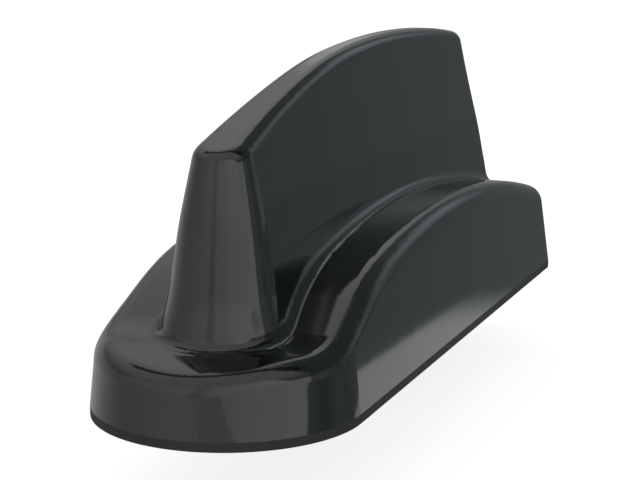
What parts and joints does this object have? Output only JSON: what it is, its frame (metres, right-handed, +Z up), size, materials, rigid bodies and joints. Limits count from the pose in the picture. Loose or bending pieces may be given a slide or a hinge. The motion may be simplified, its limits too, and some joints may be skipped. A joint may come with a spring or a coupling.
{
  "type": "vehicle roof antenna",
  "caption": "Glossy shark-fin roof antenna: arched moulded cover on a flat rubber gasket, hollow mounting stud below, antenna boards and metal elements sealed inside.",
  "frame": {"origin": "on the mounting stud's axis, in the plane of the gasket's underside where the part meets the roof", "axes": "+X forward towards the rounded nose, +Y to the vehicle's left, +Z up away from the roof"},
  "size_m": [0.202, 0.064, 0.0986],
  "materials": {
    "gloss_black": "polished moulded black",
    "cast_alloy": "as cast",
    "black_rubber": "matt",
    "seal_rubber": "matt",
    "plated_stud": "nickel plated",
    "board_green": "solder resist",
    "copper_sheet": "bare copper alloy",
    "ceramic": "fired ceramic",
    "tinned": "tin plated",
    "screw_steel": "zinc plated"
  },
  "bodies": {
    "root": {"radome": "gloss_black", "base_plate": "cast_alloy", "roof_gasket": "black_rubber", "perimeter_seal": "seal_rubber", "mounting_stud": "plated_stud", "cable_grommet": "black_rubber", "main_board": "board_green", "fin_board": "board_green", "cellular_element_main": "copper_sheet", "cellular_element_aux": "copper_sheet", "gnss_patch": "ceramic", "gnss_pin": "tinned", "amplifier_can": "tinned", "wifi_element_left": "tinned", "wifi_element_right": "tinned", "cover_screws": "screw_steel", "board_screws": "screw_steel"}
  },
  "joints": []
}
